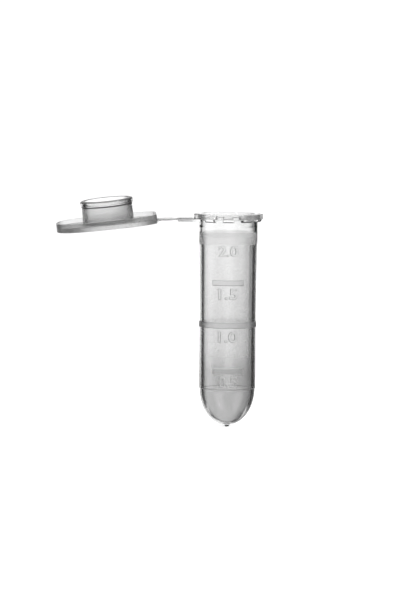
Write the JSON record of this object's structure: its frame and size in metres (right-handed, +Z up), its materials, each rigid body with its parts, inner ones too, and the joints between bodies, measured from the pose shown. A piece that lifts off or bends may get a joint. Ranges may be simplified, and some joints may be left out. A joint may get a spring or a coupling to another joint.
{
  "type": "microcentrifuge tube",
  "caption": "Round-bottomed microcentrifuge tube in translucent polypropylene, with a lugged rim, raised volume marks and a hollow-plug snap lid on a film-hinged strap.",
  "frame": {"origin": "on the tube's axis, at the level of the rim lugs' undersides, where the tube rests on a rack", "axes": "+Z up the tube's axis and out of its mouth; the open lid hangs out towards -X; -Y is the front, with the volume marks"},
  "size_m": [0.0389, 0.0134, 0.0433],
  "materials": {
    "clear_polypropylene": "clear natural polypropylene, polished mould surface",
    "frosted_polypropylene": "natural polypropylene with a fine frosted writing surface"
  },
  "bodies": {
    "tube": {"vessel_wall": "frosted_polypropylene", "vessel_bottom": "clear_polypropylene", "gate_stub": "clear_polypropylene", "neck_collar": "clear_polypropylene", "rim_flange": "clear_polypropylene", "rim_lug_1": "clear_polypropylene", "rim_lug_2": "clear_polypropylene", "rim_lug_3": "clear_polypropylene", "rim_lug_4": "clear_polypropylene", "rim_lug_5": "clear_polypropylene", "rim_lug_6": "clear_polypropylene", "rim_lug_7": "clear_polypropylene", "rim_lug_8": "clear_polypropylene", "hinge_stub": "clear_polypropylene"},
    "strap": {"hinge_strap": "clear_polypropylene"},
    "lid": {"lid_tab": "clear_polypropylene", "lid_plate": "frosted_polypropylene", "lid_rim": "clear_polypropylene", "plug_sleeve": "clear_polypropylene", "seal_bead": "clear_polypropylene"}
  },
  "joints": [
    {"name": "strap_fold", "type": "hinge", "parent": "tube", "child": "strap", "pos_m": [-0.01012, 0, 0.00044], "axis": [-0.0174, 0.9996, 0.0218], "range_deg": [-40, 92.2]},
    {"name": "lid_fold", "type": "hinge", "parent": "strap", "child": "lid", "pos_m": [-0.01244, 0.00001, 0.00035], "axis": [-0.0174, 0.9996, 0.0218], "range_deg": [-40, 94]}
  ]
}
